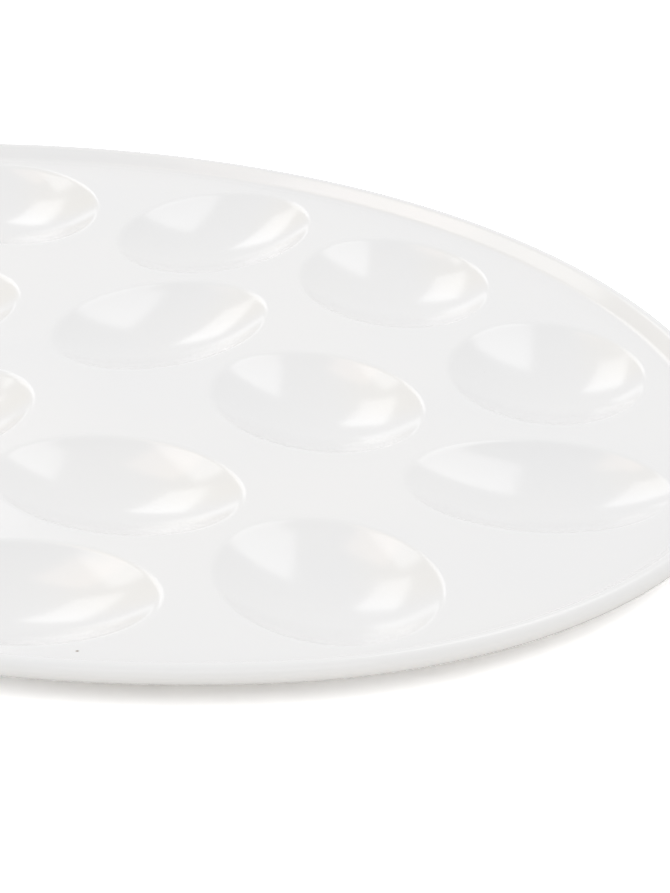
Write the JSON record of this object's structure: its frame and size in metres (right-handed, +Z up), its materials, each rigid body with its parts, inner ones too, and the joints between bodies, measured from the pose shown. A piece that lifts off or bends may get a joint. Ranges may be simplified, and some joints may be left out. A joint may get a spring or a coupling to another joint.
{
  "type": "deviled egg platter",
  "caption": "Oval glazed porcelain serving platter with scattered egg-shaped wells in a flat deck, a low rounded rim and a bare clay foot ring.",
  "frame": {"origin": "middle of the foot ring's resting face, on the table", "axes": "+X along the oval's length, +Y across it, +Z up"},
  "size_m": [0.358, 0.284, 0.013],
  "materials": {
    "white_glaze": "glossy white glaze over porcelain",
    "bare_clay": "unglazed fired clay, matte"
  },
  "bodies": {
    "root": {"platter_body": "white_glaze", "foot_ring": "bare_clay"}
  },
  "joints": []
}
